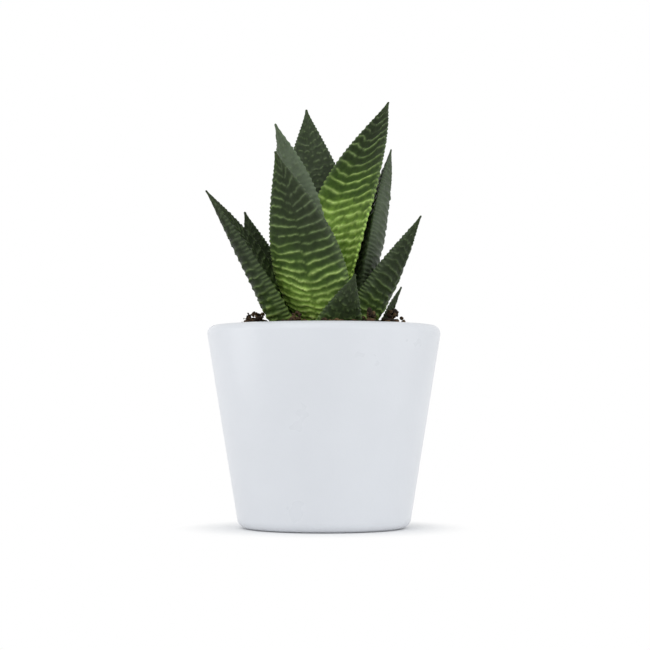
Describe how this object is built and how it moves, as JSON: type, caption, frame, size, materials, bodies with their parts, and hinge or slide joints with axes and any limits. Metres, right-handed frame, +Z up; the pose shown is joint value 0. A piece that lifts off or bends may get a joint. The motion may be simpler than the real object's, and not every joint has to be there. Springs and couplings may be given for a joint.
{
  "type": "potted haworthia",
  "caption": "Small rosette succulent with ridged pointed leaves, growing in soil in a plain white tapered round pot.",
  "frame": {"origin": "centre of the pot's standing ring, on the surface it stands on", "axes": "+Z up along the pot's axis; -Y is the front, where the largest broad leaf shows its back; +X is the side the tallest leaf leans to"},
  "size_m": [0.07, 0.07, 0.1315],
  "materials": {
    "pot_glaze": "satin white glaze",
    "soil": "rough, damp peat",
    "stem": "matte, fleshy",
    "leaf": "waxy, ridged crosswise",
    "bark": "rough bark"
  },
  "bodies": {
    "root": {"pot": "pot_glaze", "soil": "soil", "stem": "stem", "leaf_right_tall": "leaf", "leaf_back_tall": "leaf", "leaf_left_upper": "leaf", "leaf_right_edge": "leaf", "leaf_heart": "leaf", "leaf_front_large": "leaf", "leaf_left_small": "leaf", "leaf_back_left": "leaf", "leaf_back_right": "leaf", "leaf_right_low": "leaf", "leaf_left_low": "leaf", "leaf_front_small": "leaf", "leaf_right_small": "leaf", "leaf_back_small": "leaf", "chip_left_a": "bark", "chip_left_b": "bark", "chip_left_c": "bark", "chip_right_a": "bark", "chip_right_b": "bark", "chip_right_c": "bark", "chip_front_a": "bark", "chip_front_b": "bark", "chip_back_a": "bark", "chip_back_b": "bark"}
  },
  "joints": []
}
